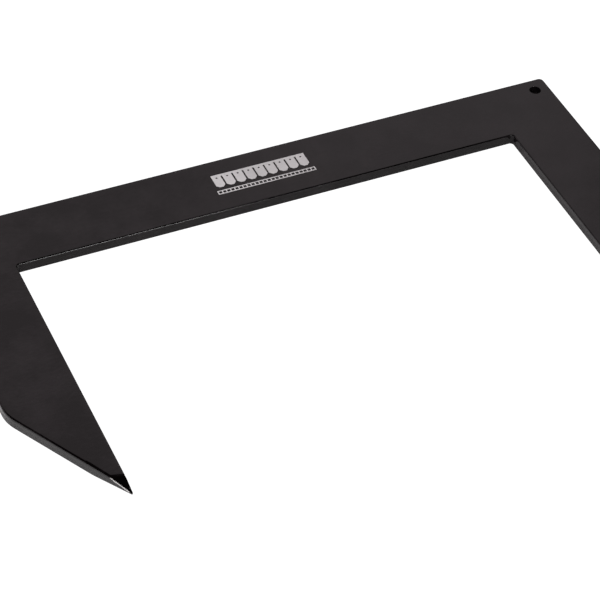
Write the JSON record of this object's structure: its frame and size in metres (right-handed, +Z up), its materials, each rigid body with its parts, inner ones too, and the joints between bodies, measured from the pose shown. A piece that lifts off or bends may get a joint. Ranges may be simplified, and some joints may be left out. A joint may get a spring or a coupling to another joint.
{
  "type": "slater's bench iron",
  "caption": "Flat black-painted steel bench iron: a long bar with a leg at each end, each leg ground to a point at its inner edge, and a small hanging hole in an outer corner.",
  "frame": {"origin": "middle of the bounding box's base, with the plate lying flat", "axes": "+X along the bar towards the corner with the hanging hole, +Y from the points towards the bar, +Z up through the printed face"},
  "size_m": [0.382, 0.212, 0.0065],
  "materials": {
    "black_paint": "gloss black paint with a faint orange peel",
    "grey_ink": "matt pale grey screen-printed ink"
  },
  "bodies": {
    "root": {"steel_plate": "black_paint", "printed_slates": "grey_ink", "printed_band": "grey_ink"}
  },
  "joints": []
}
